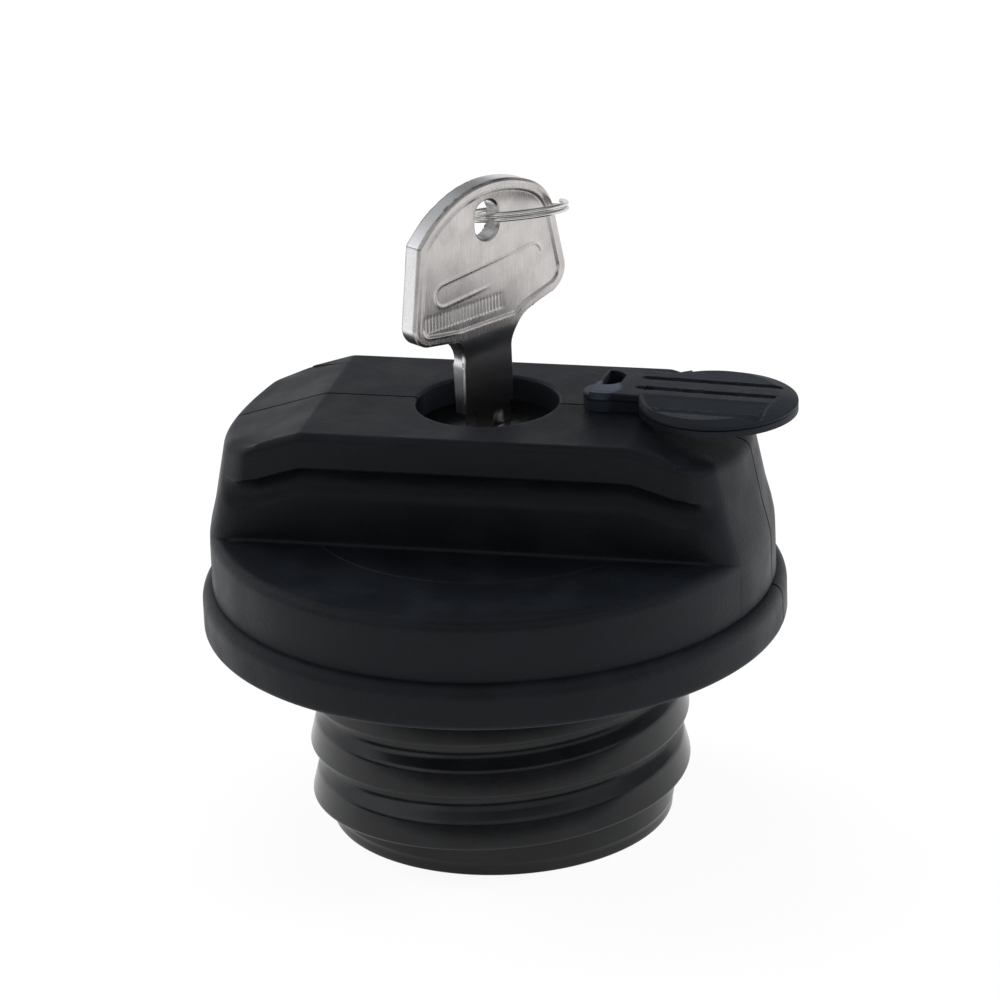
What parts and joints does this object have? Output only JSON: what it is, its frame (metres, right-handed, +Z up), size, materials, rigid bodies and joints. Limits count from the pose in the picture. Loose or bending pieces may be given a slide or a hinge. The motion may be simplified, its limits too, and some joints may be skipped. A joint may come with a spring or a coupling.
{
  "type": "locking fuel filler cap",
  "caption": "Locking screw-in fuel filler cap: grip bar on a round cover over a coarse-threaded neck, with key, split ring and swinging keyhole flap.",
  "frame": {"origin": "centre of the neck's lower end, on the axis of the threaded neck", "axes": "+Z up the neck's axis towards the grip and key; the grip bar runs along X and the open flap points to +X"},
  "size_m": [0.0827, 0.08, 0.091],
  "materials": {
    "cover_plastic": "fine-textured black",
    "neck_plastic": "smooth black",
    "flap_plastic": "fine-textured black",
    "inner_plastic": "natural acetal",
    "plate_plastic": "moulded black",
    "gasket_rubber": "matt",
    "seal_rubber": "matt",
    "key_nickel": "satin nickel plate",
    "ring_steel": "polished",
    "lock_zinc": "zinc die casting",
    "cap_steel": "bright stamped face",
    "wafer_brass": "stamped",
    "spring_steel": "drawn wire",
    "screw_steel": "zinc plated"
  },
  "bodies": {
    "plug": {"neck_plug": "neck_plastic", "neck_gasket": "gasket_rubber", "drive_ring": "inner_plastic", "drive_ring_screws": "screw_steel", "valve_cage": "inner_plastic", "inlet_grille": "neck_plastic", "relief_spring": "spring_steel"},
    "shell": {"outer_cover": "cover_plastic", "retaining_ring": "plate_plastic", "lock_plate": "plate_plastic", "lock_plate_screws": "screw_steel", "lock_housing": "lock_zinc", "housing_clip": "spring_steel", "flap_washer": "spring_steel"},
    "barrel": {"lock_barrel": "lock_zinc", "lock_wafers": "wafer_brass", "wafer_springs": "spring_steel", "barrel_cap": "cap_steel", "bolt_cam": "lock_zinc", "cam_screw": "screw_steel"},
    "bolt": {"lock_bolt": "lock_zinc"},
    "key": {"cap_key": "key_nickel"},
    "ring": {"key_ring": "ring_steel"},
    "flap": {"keyhole_cover": "flap_plastic", "flap_clip": "spring_steel"},
    "relief": {"relief_valve": "inner_plastic", "relief_valve_seal": "seal_rubber", "vacuum_spring": "spring_steel"},
    "vacuum": {"vacuum_valve": "inner_plastic", "vacuum_spring_cap": "inner_plastic"}
  },
  "joints": [
    {"name": "shell_spin", "type": "hinge", "parent": "plug", "child": "shell", "pos_m": [0, 0, 0.034], "axis": [0, 0, 1], "continuous": true},
    {"name": "lock_turn", "type": "hinge", "parent": "shell", "child": "barrel", "pos_m": [0, 0, 0.05], "axis": [0, 0, 1], "range_deg": [0, 90]},
    {"name": "bolt_slide", "type": "slide", "parent": "shell", "child": "bolt", "axis": [1, 0, 0], "range_m": [0, 0.004]},
    {"name": "key_slide", "type": "slide", "parent": "barrel", "child": "key", "axis": [0, 0, 1], "range_m": [0, 0.018]},
    {"name": "ring_swing", "type": "hinge", "parent": "key", "child": "ring", "pos_m": [0, 0, 0.0858], "axis": [0.829, -0.5592, 0], "range_deg": [0, 180]},
    {"name": "flap_swing", "type": "hinge", "parent": "shell", "child": "flap", "pos_m": [0.016, 0, 0.0598], "axis": [0, 0, 1], "range_deg": [-105, 110]},
    {"name": "relief_slide", "type": "slide", "parent": "plug", "child": "relief", "axis": [0, 0, 1], "range_m": [0, 0.004], "stiffness_N_per_m": 500, "springref_m": -0.004, "deforming": ["relief_spring"]},
    {"name": "vacuum_slide", "type": "slide", "parent": "relief", "child": "vacuum", "axis": [0, 0, -1], "range_m": [0, 0.0015], "stiffness_N_per_m": 100, "springref_m": -0.002, "deforming": ["vacuum_spring"]}
  ],
  "couplings": [
    {"joint": "lock_turn", "follows": "bolt_slide", "rad_per_m": 392.6}
  ]
}
